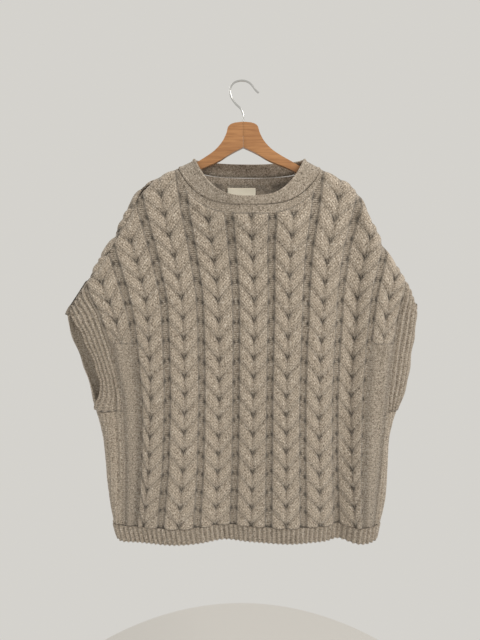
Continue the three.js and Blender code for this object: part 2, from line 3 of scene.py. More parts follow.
import bmesh
import bpy
import numpy as np
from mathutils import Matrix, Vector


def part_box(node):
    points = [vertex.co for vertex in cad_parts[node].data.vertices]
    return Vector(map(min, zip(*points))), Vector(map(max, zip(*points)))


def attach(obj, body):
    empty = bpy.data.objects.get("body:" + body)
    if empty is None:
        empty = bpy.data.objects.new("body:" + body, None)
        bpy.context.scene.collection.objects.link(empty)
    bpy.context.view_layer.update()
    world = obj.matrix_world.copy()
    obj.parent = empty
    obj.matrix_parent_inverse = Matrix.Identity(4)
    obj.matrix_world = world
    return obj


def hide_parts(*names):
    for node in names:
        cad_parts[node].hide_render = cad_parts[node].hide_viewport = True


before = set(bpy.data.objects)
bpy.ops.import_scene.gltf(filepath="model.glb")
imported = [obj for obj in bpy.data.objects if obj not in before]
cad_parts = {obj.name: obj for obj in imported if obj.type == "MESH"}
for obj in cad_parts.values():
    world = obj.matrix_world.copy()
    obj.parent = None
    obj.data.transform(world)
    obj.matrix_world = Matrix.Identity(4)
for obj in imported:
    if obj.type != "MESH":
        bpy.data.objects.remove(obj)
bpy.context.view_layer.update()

# The viewpoint: a hand-held view straight at the poncho, from level with its chest, tipped down a
# little. The room is a pale plain one, with soft daylight from the right and a pale floor below.
camera_place = (-0.0057, -0.930, -0.3249)
camera_pitch = math.radians(8)
room_colour = (0.66, 0.645, 0.61, 1)

camera = bpy.data.objects.new("camera", bpy.data.cameras.new("camera"))
bpy.context.scene.collection.objects.link(camera)
camera.location = camera_place
camera.rotation_euler = (math.pi / 2 - camera_pitch, 0, 0)
camera.data.lens = 26
camera.data.sensor_width = 36
bpy.context.scene.camera = camera
bpy.context.scene.view_settings.view_transform = "Standard"

room = bpy.data.worlds.new("room")
room.use_nodes = True
room.node_tree.nodes["Background"].inputs["Color"].default_value = room_colour
room.node_tree.nodes["Background"].inputs["Strength"].default_value = 1.0
bpy.context.scene.world = room


def window_light(name, place, aim, size, watts):
    light = bpy.data.objects.new(name, bpy.data.lights.new(name, "AREA"))
    bpy.context.scene.collection.objects.link(light)
    light.data.size = size
    light.data.energy = watts
    light.data.color = (1.0, 0.97, 0.92)
    light.location = place
    way = Vector(aim) - Vector(place)
    light.rotation_euler = way.to_track_quat("-Z", "Y").to_euler()


window_light("window", (1.5, -1.1, 0.9), (0, 0, -0.5), 0.9, 22)
window_light("window_behind", (-1.2, 1.4, 0.8), (0, 0, -0.5), 1.2, 9)

bpy.ops.mesh.primitive_circle_add(vertices=96, radius=0.8, fill_type="NGON", location=(0, 0, -1.75))
floor = bpy.context.object
floor.name = "floor"
floor_paint = bpy.data.materials.new("floor_paint")
floor_paint.use_nodes = True
floor_paint.node_tree.nodes["Principled BSDF"].inputs["Base Color"].default_value = (0.7, 0.68, 0.65, 1)
floor_paint.node_tree.nodes["Principled BSDF"].inputs["Roughness"].default_value = 0.8
floor.data.materials.append(floor_paint)


# The front and back panels: hand-knitted flat in heathered oatmeal wool, nine horseshoe cables with
# purl gutters between them, and ribs at the sides. They are sewn at the shoulders and the sides, and
# the left shoulder seam has rolled onto the front. All lengths here are in millimetres.
metres = 0.001
edge_radius = 20
quarter_roll = math.pi / 2 * edge_radius
flat_allowance = quarter_roll - edge_radius
seam_gap = 0.3
wall = 4.6
rolled_seam = 22
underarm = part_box("armhole_band_left")[0].z / metres
rib_top = -893
neck_corner_left, neck_corner_right = -123, 147
roll_from, roll_length = -390, 234  # where on the left shoulder the seam has rolled
neck_seam_drop = {"front": 84, "back": 25}
seam_line = 4.5  # the armhole seams' number among the lines of stitches
cable_pitch = 66
rib_pitch = 9.8
cable_repeat = 40
cable_width = 0.425  # half a cable, as a share of a column
cable_height = 5.6
stitch_wide, stitch_high = 4.9, 4.1

outline_left = [
    (-260, -975), (-269, -935), (-278, -900), (-288, -818), (-292, -729), (-299, -675), (-308, -640),
    (-320, -606), (-336, -570), (-350, -535), (-361, -500), (-365, -472), (-355, -443), (-337, -416),
    (-314, -382), (-280, -327), (-262, -299), (-241, -265), (-222, -231), (-210, -208), (-192, -190),
    (-159, -173), (-123, -156), (-92, -141), (-40, -124), (12, -119),
]
outline_right = [
    (64, -124), (116, -141), (162, -165), (196, -183), (221, -202), (235, -222), (247, -248),
    (266, -284), (285, -317), (315, -361), (335, -391), (347, -424), (350, -455), (347, -497),
    (342, -544), (337, -590), (325, -630), (314, -672), (308, -709), (308, -776), (306, -844),
    (296, -897), (290, -935), (283, -975),
]
wale_numbers = np.array([-4.5, -3, 0, 3, 4.5])
# level, left armhole seam, third cable to the left, middle, third to the right, right armhole seam
wale_rows = {
    "front": [
        (-120, -405, -262, 11, 290, 425), (-240, -366, -237, 15, 262, 382),
        (-316, -338, -214, 18, 240, 350), (-400, -310, -194, 22, 228, 322),
        (-442, -289, -190, 22, 227, 313), (-505, -271, -188, 22, 224, 306),
        (-615, -248, -187, 21, 222, 298), (-760, -246, -195, 20, 228, 290),
        (-930, -254, -215, 17, 241, 280),
    ],
    "back": [
        (-120, -405, -262, 11, 290, 425), (-240, -366, -237, 15, 262, 382),
        (-316, -338, -214, 18, 240, 350), (-400, -310, -194, 22, 228, 322),
        (-442, -310, -196, 20, 224, 301), (-505, -308, -194, 20, 222, 294),
        (-615, -280, -190, 20, 220, 286), (-760, -252, -195, 19, 228, 282),
        (-930, -254, -215, 17, 241, 278),
    ],
}
# upper x and z, lower x and z, width, upper and lower depth, fade
folds = {
    "front": [
        (12, -215, 12, -240, 95, 26, 26, 95), (220, -262, 204, -960, 20, -9, -13, 40),
        (258, -330, 250, -960, 26, 3, 11, 60), (110, -420, 93, -960, 55, 2, 11, 90),
        (-30, -520, -40, -960, 34, -1, -10, 90), (-150, -420, -140, -960, 60, 2, 14, 90),
        (-222, -262, -196, -420, 18, -5, -1, 40), (-262, -480, -262, -880, 9, -5, -4, 60),
        (286, -500, 292, -790, 12, 5, 3, 60),
    ],
    "back": [
        (12, -175, 12, -190, 95, 13, 13, 60), (-205, -300, -170, -960, 40, -5, -7, 60),
        (-80, -420, -60, -960, 55, 3, 8, 90), (60, -430, 80, -960, 38, -2, -6, 90),
        (190, -300, 205, -960, 48, 3, 8, 70),
    ],
}


def smooth_curve(points, steps):
    """A curve through the points, with steps short lines between each two."""
    p = np.array(points, float)
    p = np.vstack([p[0], p, p[-1]])
    share = (np.arange(steps) / steps)[:, None]
    made = []
    for a, b, c, d in zip(p, p[1:], p[2:], p[3:]):
        bend = (2 * a - 5 * b + 4 * c - d) * share**2 + (3 * b - a - 3 * c + d) * share**3
        made.append(0.5 * (2 * b + (c - a) * share + bend))
    return np.vstack(made + [p[-1:]])


outline = smooth_curve(outline_left + outline_right, 6)


def nearest_edge(x, z):
    """The outline's nearest point to each place, the way in from it, and how far in the place is."""
    start, along = outline[:-1], np.diff(outline, axis=0)
    square = (along**2).sum(1)
    foot, inward, distance = np.empty((x.size, 2)), np.empty((x.size, 2)), np.empty(x.size)
    places = np.column_stack([x.ravel(), z.ravel()])
    for first in range(0, len(places), 4000):
        part = places[first:first + 4000]
        reach = ((part[:, None] - start) * along).sum(2) / square
        feet = start + np.clip(reach, 0, 1)[..., None] * along
        gaps = ((part[:, None] - feet) ** 2).sum(2)
        best = gaps.argmin(1)
        index = np.arange(len(part))
        foot[first:first + 4000] = feet[index, best]
        length = np.sqrt(square[best])
        way = np.column_stack([along[best, 1] / length, -along[best, 0] / length])
        offset = part - feet[index, best]
        sign = np.where((offset * way).sum(1) < 0, -1.0, 1.0)
        span = sign * np.sqrt(gaps[index, best])
        far = np.abs(span) > 1e-6
        way[far] = offset[far] / span[far, None]
        inward[first:first + 4000] = way
        distance[first:first + 4000] = span
    return foot.reshape(*x.shape, 2), inward.reshape(*x.shape, 2), distance.reshape(x.shape)


def smoothstep(value, low, high):
    share = np.clip((value - low) / (high - low), 0, 1)
    return share * share * (3 - 2 * share)


def fold_depth(side, x, z):
    depth = np.zeros(np.shape(x))
    for top_x, top_z, low_x, low_z, width, top_depth, low_depth, fade in folds[side]:
        share = np.clip((z - top_z) / (low_z - top_z), 0, 1)
        across = (x - (top_x + share * (low_x - top_x))) / width
        beyond = np.maximum(np.maximum(z - top_z, low_z - z), 0) / fade
        depth += (top_depth + share * (low_depth - top_depth)) * np.exp(-across**2 - 3 * beyond**2)
    return depth


def cloth(side, x, z):
    """The outer face of the cloth at places on a flat panel, rolled over the edges and folded."""
    foot, inward, distance = nearest_edge(x, z)
    inset = distance + flat_allowance
    faces = (-1 if side == "front" else 1) * np.where(inset < 0, -1, 1)
    turn = np.minimum(np.abs(inset) / edge_radius, math.pi / 2)
    from_edge = edge_radius * (1 - np.cos(turn)) + np.maximum(np.abs(inset) - quarter_roll, 0)
    placed = foot + inward * from_edge[..., None]
    calm = smoothstep(np.abs(inset), 0, 1.3 * quarter_roll)
    fold = np.where(
        faces < 0,
        fold_depth("front", placed[..., 0], placed[..., 1]),
        fold_depth("back", placed[..., 0], placed[..., 1]),
    )
    depth = edge_radius * np.sin(turn) + calm * fold
    return np.stack([placed[..., 0], faces * depth, placed[..., 1]], -1)


def wale_x(side, wale, level):
    """Where a line of stitches runs at a level."""
    rows = np.array(sorted(wale_rows[side]))
    level, wale = np.broadcast_arrays(np.asarray(level, float), np.asarray(wale, float))
    knots = np.stack([np.interp(level, rows[:, 0], rows[:, i + 1]) for i in range(5)], -1)
    place = np.clip(np.searchsorted(wale_numbers, wale) - 1, 0, 3)
    low = np.take_along_axis(knots, place[..., None], -1)[..., 0]
    high = np.take_along_axis(knots, place[..., None] + 1, -1)[..., 0]
    share = (wale - wale_numbers[place]) / (wale_numbers[place + 1] - wale_numbers[place])
    return low + share * (high - low)


def inside_edge(level, is_left, inset):
    """A place on the flat panel at a level of the left or right edge, so far in from it."""
    top = outline[:, 1].argmax()
    branch = outline[:top + 1] if is_left else outline[top:][::-1]
    step = 0.5
    x = np.interp(level, branch[:, 1], branch[:, 0])
    lean = np.interp(level + step, branch[:, 1], branch[:, 0]) - x
    length = np.hypot(lean, step)
    way = 1 if is_left else -1
    reach = inset - flat_allowance
    return x + way * step / length * reach, level - way * lean / length * reach


def way_of(corner, branch):
    """The outline's level above a place across, near the neck."""
    near = np.abs(branch[:, 0] - corner) + (branch[:, 1] < -300) * 1e3
    return branch[near.argmin(), 1]


def neck_corner_places():
    top = outline[:, 1].argmax()
    left = inside_edge(way_of(neck_corner_left, outline[:top + 1]), True, 0)
    right = inside_edge(way_of(neck_corner_right, outline[top:][::-1]), False, 0)
    return left, right


def neck_seam(side, across, trim=0.0):
    """The neck seam's place on the flat panel; across runs from -1 at the left corner to 1."""
    (left_x, left_z), (right_x, right_z) = neck_corner_places()
    hollow = np.maximum(1 - np.abs(across) ** 3, 0) ** 0.75
    drop = neck_seam_drop[side]
    x = (left_x + right_x) / 2 + across * ((right_x - left_x) / 2 + trim)
    return x, left_z + (right_z - left_z) * (1 + across) / 2 - drop * hollow - trim


def on_panel(side, wale, level):
    """Whether places on lines of stitches are below the shoulder and neck seams."""
    x = wale_x(side, wale, level)
    inset = nearest_edge(x, level)[2] + flat_allowance
    share = (level - roll_from) / roll_length
    ends = smoothstep(share, 0, 0.2) * smoothstep(1 - share, 0, 0.2)
    roll = rolled_seam * ends * (x < 0) * (1 if side == "front" else -1)
    (left_x, left_z), (right_x, right_z) = neck_corner_places()
    across = (x - (left_x + right_x) / 2) / ((right_x - left_x) / 2 + 1)
    seam = neck_seam(side, np.clip(across, -1, 1), 1)[1]
    below_neck = (np.abs(across) > 1) | (level < seam)
    return (inset > roll + seam_gap / 2) & below_neck


def top_levels(side, wales):
    low, high = np.full(wales.shape, underarm), np.full(wales.shape, -100.0)
    for _ in range(26):
        middle = (low + high) / 2
        inside = on_panel(side, wales, middle)
        low, high = np.where(inside, middle, low), np.where(inside, high, middle)
    return low


def panel_grid(side, column_steps, side_steps, upper_steps, lower_steps):
    """Flat places of a panel: x, z, the stitch line's number, and the ribs counted past the seams."""
    wales = np.linspace(-seam_line, seam_line, column_steps + 1)
    tops = top_levels(side, wales)
    share = np.linspace(0, 1, upper_steps + 1)[:, None]
    upper = tops + (underarm - tops) * share
    lower = np.linspace(underarm, rib_top, lower_steps + 1)[1:, None] + 0 * wales
    z = np.vstack([upper, lower]).T
    x = wale_x(side, wales[:, None], z)
    wale = wales[:, None] + 0 * z
    for is_left in (True, False):
        levels = z[0] if is_left else z[-1]
        edge_x, edge_z = inside_edge(levels, is_left, seam_gap / 2)
        inner = x[0] if is_left else x[-1]
        part = (np.arange(1, side_steps + 1) / side_steps)[:, None]
        more_x, more_z = inner + part * (edge_x - inner), levels + part * (edge_z - levels)
        more_wale = (-1 if is_left else 1) * (seam_line + np.abs(more_x - inner) / cable_pitch)
        if is_left:
            x, z = np.vstack([more_x[::-1], x]), np.vstack([more_z[::-1], z])
            wale = np.vstack([more_wale[::-1], wale])
        else:
            x, z, wale = np.vstack([x, more_x]), np.vstack([z, more_z]), np.vstack([wale, more_wale])
    return x, z, wale


def outward_normals(points, place, towards):
    """The way out of a grid of points; at one place it is known to face the front, -1, or back, 1."""
    normals = np.cross(np.gradient(points, axis=0), np.gradient(points, axis=1))
    normals /= np.linalg.norm(normals, axis=-1, keepdims=True) + 1e-12
    return normals if normals[place][1] * towards > 0 else -normals


def horseshoe(wale, height):
    """The raised pattern of the cables: its height, its stitch coordinates and its hollows, which are sunk
    into the relief and also darkened as painted shade.
    """
    column = np.round(np.clip(wale, -4, 4))
    off = wale - column
    across = np.abs(off) / cable_width
    inside = np.clip(across, 0, 1)
    wobble = 0.05 * np.sin(column * 2.7 + height / 61)
    phase = height / cable_repeat - 0.95 * inside**0.85 + 0.13 * np.sin(column * 4.1) + wobble
    part = phase - np.floor(phase)
    strand = np.sin(math.pi * part**0.8) ** 0.7 * (0.72 + 0.28 * (1 - part))
    rim = np.clip(1 - inside**5, 0, 1) ** 0.6
    dive = 0.45 + 0.55 * smoothstep(inside, 0.0, 0.22)
    cable = rim * dive * (0.22 + 0.78 * strand)
    gutter = smoothstep(across, 0.9, 1.12)
    strand_stitch = 3 * phase
    strand_row = np.abs(off) * cable_pitch * 1.35 / stitch_high
    # The hollows between the strands: sunk into the relief, and darkened as painted shade through the shade
    # value.
    hollow = np.exp(-((inside - 0.06) / 0.13) ** 2) * np.exp(-(((part + 0.5) % 1 - 0.5) / 0.10) ** 2)
    edge_hole = np.exp(-((across - 1.02) / 0.09) ** 2)
    edge_hole = edge_hole * np.exp(-(((part + 0.5) % 1 - 0.5) / 0.13) ** 2)
    return cable, gutter, strand_stitch, strand_row, hollow + 0.8 * edge_hole


def panel_relief(side, x, z, wale, height):
    """How far the knitting stands out over a panel, its stitch coordinates, and its painted shade."""
    cable, gutter, stitch, row, hole = horseshoe(wale, height)
    (left_x, left_z), (right_x, right_z) = neck_corner_places()
    across = np.clip((2 * x - left_x - right_x) / (right_x - left_x), -1, 1)
    yoke = 1 - smoothstep(neck_seam(side, across)[1] - z, 9, 24)
    outer = smoothstep(np.abs(wale), 3.45, 3.6)
    plain = outer * (1 - smoothstep(z, -560, -440))
    cabled = (1 - plain) * (1 - yoke) * (1 - smoothstep(np.abs(wale), 4.4, 4.5))
    ribs_from = smoothstep(np.abs(wale), 4.44, 4.5)
    rib = 0.5 + 0.5 * np.cos((np.abs(wale) - seam_line) * cable_pitch / rib_pitch * 2 * math.pi + 0.6)
    smooth_column = np.exp(-((np.abs(wale) - 4.03) / 0.28) ** 4)
    relief = cabled * (cable_height * cable - 1.3 * gutter)
    relief += plain * (2.8 * smooth_column - 1.2)
    relief += ribs_from * (2.4 * rib - 0.6)
    relief -= 2.2 * hole * cabled
    # Painted shade: the shade value is low in the gutters, the cable hollows and the plain knitting, and
    # high on the cable strands and rib ridges.
    shade = cabled * (0.22 + 0.78 * cable - 0.02 * gutter - 1.5 * hole)
    shade += plain * (0.2 + 0.6 * smooth_column) + ribs_from * (0.15 + 0.7 * rib) + 0.5 * yoke * (1 - plain)
    flat_stitch = wale * cable_pitch / stitch_wide
    flat_row = height / stitch_high
    on_strand = (cable > 0.04) * (cabled > 0.5) * (gutter < 0.5)
    stitch = np.where(on_strand, stitch, flat_stitch)
    row = np.where(on_strand, row, flat_row)
    purl = np.clip(gutter * (cabled > 0.5) + ribs_from * (rib < 0.35), 0, 1)
    return relief, stitch, row, np.clip(shade, -0.85, 1), purl


def knit_wall(name, outer, inner, cells, step, stitches, shades, closed=False):
    """A wall of cloth: a fine outer face, an inner face of every step-th point, and plain rims."""
    columns, rows = outer.shape[:2]
    outer_index = np.arange(columns * rows).reshape(columns, rows)
    if closed:
        outer_index = np.vstack([outer_index, outer_index[:1]])
    coarse_rows = (rows - 1) // step + 1
    inner_points = inner[::step, ::step]
    inner_index = columns * rows + np.arange(inner_points[..., 0].size).reshape(inner_points.shape[:2])
    if closed:
        inner_index = np.vstack([inner_index, inner_index[:1]])
    coarse = cells[::step, ::step]
    fine = np.argwhere(cells)
    i, j = fine[:, 0], fine[:, 1]
    corners = [outer_index[i, j], outer_index[i, j + 1], outer_index[i + 1, j + 1], outer_index[i + 1, j]]
    faces = np.stack(corners, 1).tolist()

    def has(a, b):
        in_rows = 0 <= b < coarse_rows - 1
        in_columns = closed or 0 <= a < len(coarse)
        return in_rows and in_columns and bool(coarse[a % len(coarse), b])

    for a, b in np.argwhere(coarse):
        faces.append([int(inner_index[p, q]) for p, q in ((a, b), (a + 1, b), (a + 1, b + 1), (a, b + 1))])
        left, right, top, low = a * step, (a + 1) * step, b * step, (b + 1) * step
        if not has(a, b - 1):
            rim = [outer_index[p, top] for p in range(left, right + 1)]
            faces.append([int(v) for v in rim + [inner_index[a + 1, b], inner_index[a, b]]])
        if not has(a, b + 1):
            rim = [outer_index[p, low] for p in range(right, left - 1, -1)]
            faces.append([int(v) for v in rim + [inner_index[a, b + 1], inner_index[a + 1, b + 1]]])
        if not has(a - 1, b):
            rim = [outer_index[left, q] for q in range(low, top - 1, -1)]
            faces.append([int(v) for v in rim + [inner_index[a, b], inner_index[a, b + 1]]])
        if not has(a + 1, b):
            rim = [outer_index[right, q] for q in range(top, low + 1)]
            faces.append([int(v) for v in rim + [inner_index[a + 1, b + 1], inner_index[a + 1, b]]])
    points = np.vstack([outer.reshape(-1, 3), inner_points.reshape(-1, 3)]) * metres
    around = [
        np.vstack([value.reshape(-1, 2), value[::step, ::step].reshape(-1, 2)])
        for value in (stitches, shades)
    ]
    # The inner face gets a low shade value: painted shade on the inside of the cloth.
    around[1][columns * rows:, 0] = 0.35
    used = np.zeros(len(points), bool)
    used[[v for face in faces for v in face]] = True
    number = np.cumsum(used) - 1
    mesh = bpy.data.meshes.new(name)
    mesh.from_pydata(points[used].tolist(), [], [[int(number[v]) for v in face] for face in faces])
    loops = np.empty(len(mesh.loops), np.int32)
    mesh.loops.foreach_get("vertex_index", loops)
    layer = mesh.uv_layers.new(name="stitches")
    layer.data.foreach_set("uv", around[0][used][loops].ravel())
    for index, attribute in enumerate(("shade", "purl")):
        values = mesh.attributes.new(attribute, "FLOAT", "POINT")
        values.data.foreach_set("value", around[1][used][:, index].astype(np.float32))
    mesh.polygons.foreach_set("use_smooth", [True] * len(mesh.polygons))
    mesh.update()
    bpy.context.view_layer.update()
    piece = bpy.data.objects.new(name, mesh)
    bpy.context.scene.collection.objects.link(piece)
    turn_outward(piece)
    return piece


def turn_outward(piece):
    """Turns all faces the right way out."""
    made = bmesh.new()
    made.from_mesh(piece.data)
    bmesh.ops.recalc_face_normals(made, faces=made.faces)
    made.to_mesh(piece.data)
    made.free()


def math_node(tree, kind, first, second=None):
    node = tree.nodes.new("ShaderNodeMath")
    node.operation = kind
    for socket, value in zip(node.inputs, (first, second)):
        if value is None:
            continue
        if isinstance(value, (int, float)):
            socket.default_value = value
        else:
            tree.links.new(value, socket)
    return node.outputs[0]


def noise(tree, place, scale, detail, rough):
    node = tree.nodes.new("ShaderNodeTexNoise")
    node.inputs["Scale"].default_value = scale
    node.inputs["Detail"].default_value = detail
    node.inputs["Roughness"].default_value = rough
    tree.links.new(place, node.inputs["Vector"])
    return node.outputs[0]


def oatmeal_wool():
    """Heathered wool yarn: grey-brown and cream fibres spun together, matt, with V-shaped stitches."""
    wool = bpy.data.materials.new("oatmeal_wool")
    wool.use_nodes = True
    tree = wool.node_tree
    shader = tree.nodes["Principled BSDF"]
    shader.inputs["Roughness"].default_value = 0.95
    shader.inputs["Specular IOR Level"].default_value = 0.15
    shader.inputs["Sheen Weight"].default_value = 0.25
    shader.inputs["Sheen Roughness"].default_value = 0.6
    uv = tree.nodes.new("ShaderNodeUVMap")
    uv.uv_map = "stitches"
    apart = tree.nodes.new("ShaderNodeSeparateXYZ")
    tree.links.new(uv.outputs[0], apart.inputs[0])
    place = tree.nodes.new("ShaderNodeTexCoord").outputs["Object"]
    across, along = apart.outputs[0], apart.outputs[1]
    part = math_node(tree, "FRACT", across)
    off = math_node(tree, "ABSOLUTE", math_node(tree, "SUBTRACT", part, 0.5))
    wave = math_node(tree, "SINE", math_node(tree, "MULTIPLY", across, 2 * math.pi))
    leg = math_node(tree, "ABSOLUTE", wave)
    leg = math_node(tree, "POWER", leg, 0.6)
    slant = math_node(tree, "SUBTRACT", along, math_node(tree, "MULTIPLY", off, 1.5))
    loop = math_node(tree, "SINE", math_node(tree, "MULTIPLY", math_node(tree, "FRACT", slant), math.pi))
    loop = math_node(tree, "POWER", loop, 0.6)
    knitted = math_node(tree, "MULTIPLY", leg, loop)
    bar = math_node(tree, "SINE", math_node(tree, "MULTIPLY", math_node(tree, "FRACT", along), math.pi))
    purl = tree.nodes.new("ShaderNodeAttribute")
    purl.attribute_name = "purl"
    stitches = tree.nodes.new("ShaderNodeMix")
    tree.links.new(purl.outputs["Fac"], stitches.inputs[0])
    tree.links.new(knitted, stitches.inputs[2])
    tree.links.new(bar, stitches.inputs[3])
    fibre = noise(tree, place, 1500, 4, 0.7)
    relief = math_node(tree, "ADD", stitches.outputs[0], math_node(tree, "MULTIPLY", fibre, 0.7))
    bump = tree.nodes.new("ShaderNodeBump")
    bump.inputs["Strength"].default_value = 0.85
    bump.inputs["Distance"].default_value = 0.0013
    tree.links.new(relief, bump.inputs["Height"])
    tree.links.new(bump.outputs[0], shader.inputs["Normal"])
    fleck = noise(tree, place, 330, 4, 0.8)
    ramp = tree.nodes.new("ShaderNodeValToRGB")
    tones = [(0.36, (0.11, 0.085, 0.06, 1)), (0.44, (0.46, 0.375, 0.285, 1)),
             (0.58, (0.72, 0.61, 0.49, 1)), (0.66, (1.0, 0.93, 0.82, 1))]
    ramp.color_ramp.elements[0].position, ramp.color_ramp.elements[0].color = tones[0]
    ramp.color_ramp.elements[1].position, ramp.color_ramp.elements[1].color = tones[-1]
    for position, colour in tones[1:-1]:
        ramp.color_ramp.elements.new(position).color = colour
    tree.links.new(fleck, ramp.inputs[0])
    # Painted shade: the base colour is scaled by the shade attribute and darkened further in the grooves of
    # the stitch pattern.
    shade = tree.nodes.new("ShaderNodeAttribute")
    shade.attribute_name = "shade"
    light = math_node(tree, "ADD", math_node(tree, "MULTIPLY", shade.outputs["Fac"], 0.5), 0.62)
    painted_groove_shade = math_node(tree, "ADD", math_node(tree, "MULTIPLY", stitches.outputs[0], 0.42), 0.66)
    dim = math_node(tree, "MULTIPLY", light, painted_groove_shade)
    tint = tree.nodes.new("ShaderNodeVectorMath")
    tint.operation = "SCALE"
    tree.links.new(ramp.outputs[0], tint.inputs[0])
    tree.links.new(dim, tint.inputs["Scale"])
    tree.links.new(tint.outputs[0], shader.inputs["Base Color"])
    return wool


wool = oatmeal_wool()


def run_length(points):
    """How far each point of a column is from the column's foot, along the cloth."""
    steps = np.linalg.norm(np.diff(points, axis=1), axis=2)
    up = np.cumsum(steps[:, ::-1], axis=1)[:, ::-1]
    return np.concatenate([up, np.zeros((len(points), 1))], axis=1)


panel_steps = dict(column_steps=252, side_steps=20, upper_steps=144, lower_steps=88)
panels = {}
for side in ("front", "back"):
    x, z, wale = panel_grid(side, **panel_steps)
    base = cloth(side, x, z)
    out = outward_normals(base, (140, 120), -1 if side == "front" else 1)
    height = run_length(base)
    relief, stitch, row, shade, purl = panel_relief(side, x, z, wale, height)
    ends = smoothstep(height[:, :1] - height, 0, 14)
    outer = base + out * (relief * (0.25 + 0.75 * ends) - 1.2)[..., None]
    cells = np.ones((x.shape[0] - 1, x.shape[1] - 1), bool)
    for edge in (slice(0, panel_steps["side_steps"]), slice(-panel_steps["side_steps"], None)):
        cells[edge, :panel_steps["upper_steps"]] = False
    name = side + "_knit"
    panels[side] = knit_wall(
        name, outer, base - out * wall, cells, 4,
        np.stack([stitch, row], -1), np.stack([shade, purl], -1),
    )
    panels[side].data.materials.append(wool)
    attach(panels[side], "root")
    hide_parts(side + "_panel")


# The hem ribs: one knit and one purl by turns, knitted on below each panel, about eight rows high,
# ending in a loose cast-off edge that the folds carry in and out.
hem_level, hem_width, hem_columns, hem_rows = -927, 576, 480, 12
for side in ("front", "back"):
    levels = np.linspace(rib_top - seam_gap, hem_level, hem_rows + 1)
    left_x, left_z = inside_edge(levels, True, seam_gap / 2)
    right_x, right_z = inside_edge(levels, False, seam_gap / 2)
    part = np.linspace(0, 1, hem_columns + 1)[:, None]
    x = left_x + part * (right_x - left_x)
    z = left_z + part * (right_z - left_z)
    base = cloth(side, x, z)
    out = outward_normals(base, (240, 6), -1 if side == "front" else 1)
    rib = 0.5 + 0.5 * np.cos(2 * math.pi * (part * hem_width / rib_pitch) + 0.12 * np.sin(z / 6))
    relief = 3.4 * rib - 1.6 + 0.5 * np.sin(x / 17)
    outer = base + out * relief[..., None]
    edge_wave = np.sin(2 * math.pi * part * hem_width / rib_pitch)
    outer[..., 2] += 0.8 * edge_wave * np.linspace(0, 1, hem_rows + 1) ** 4
    stitch = part * hem_width / stitch_wide + 0.25 + 0 * z
    row = (z - levels[-1]) / stitch_high
    # The shade value paints shade in the rib valleys and light on the rib ridges.
    hem = knit_wall(
        side + "_hem", outer, base - out * wall, np.ones((hem_columns, hem_rows), bool), 4,
        np.stack([stitch, row], -1), np.stack([0.1 + 0.75 * rib, (rib < 0.35) * 1.0], -1),
    )
    hem.data.materials.append(wool)
    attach(hem, "root")
    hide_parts(side + "_hem_rib")


# The armhole bands: stitches picked up along each armhole and ribbed outward for four ribs, from the
# underarm up the front, over the shoulder's end and down the back, where the free edge curls a little.
free_edges = {
    # level, on the front, on the back
    True: [(-460, -333, -362), (-480, -321, -358), (-503, -313, -352), (-541, -298, -338),
           (-578, -289, -327), (-610, -292, -320), (-643, -311, -315)],
    False: [(-455, 358, 345), (-480, 357, 339), (-503, 354, 335), (-541, 349, 329),
            (-578, 345, 325), (-610, 337, 322), (-643, 329, 325)],
}
for is_left, name in ((True, "left"), (False, "right")):
    seam_wale = -seam_line if is_left else seam_line
    outward = -1 if is_left else 1
    edges = np.array(free_edges[is_left][::-1])
    tip = free_edges[is_left][0][0] + 14
    strips, insets = 40, []
    for side, column in (("front", 1), ("back", 2)):
        top = float(top_levels(side, np.array([seam_wale]))[0])
        climb = np.linspace(0, 1, 81) ** 0.85
        level = underarm + seam_gap + climb * (top - underarm - seam_gap)
        seam_x = wale_x(side, seam_wale, level) + outward * seam_gap
        free_x = np.interp(level, edges[:, 0], edges[:, column])
        tip_x, tip_z = inside_edge(tip, is_left, seam_gap / 2)
        rise = np.clip((level - edges[-1, 0]) / (top - edges[-1, 0]), 0, 1)
        end_x = free_x + rise * (tip_x - free_x)
        end_z = level + rise * (tip_z - level)
        across = np.linspace(0, 1, strips + 1)
        x = seam_x[:, None] + across * (end_x - seam_x)[:, None]
        z = level[:, None] + across * (end_z - level)[:, None]
        foot = nearest_edge(x[-1], z[-1])
        x[-1] = foot[0][:, 0] + foot[1][:, 0] * -flat_allowance
        z[-1] = foot[0][:, 1] + foot[1][:, 1] * -flat_allowance
        insets.append(cloth(side, x, z))
    base = np.vstack([insets[0], insets[1][::-1][1:]])
    out = outward_normals(base, (30, 20), -1)
    share = np.linspace(0, 1, strips + 1)[None, :] + 0 * base[..., 0]
    rib = 0.5 + 0.5 * np.cos(2 * math.pi * (share * 4.5 - 0.5))
    run = np.arange(len(base))[:, None] * 3.3
    outer = base + out * (3.2 * rib - 1.4 + 0.4 * np.sin(run / 23))[..., None]
    outer[..., 0] += outward * 1.2 * share**6 * np.sin(run / 9)
    # The shade value paints shade in the rib valleys and light on the rib ridges.
    band = knit_wall(
        "armhole_rib_" + name, outer, base - out * wall, np.ones((160, strips), bool), 4,
        np.stack([share * 9 + 0.25, run / stitch_high + 0 * share], -1),
        np.stack([0.1 + 0.75 * rib, (rib < 0.35) * 1.0], -1),
    )
    band.data.materials.append(wool)
    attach(band, "root")
    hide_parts("armhole_band_" + name)


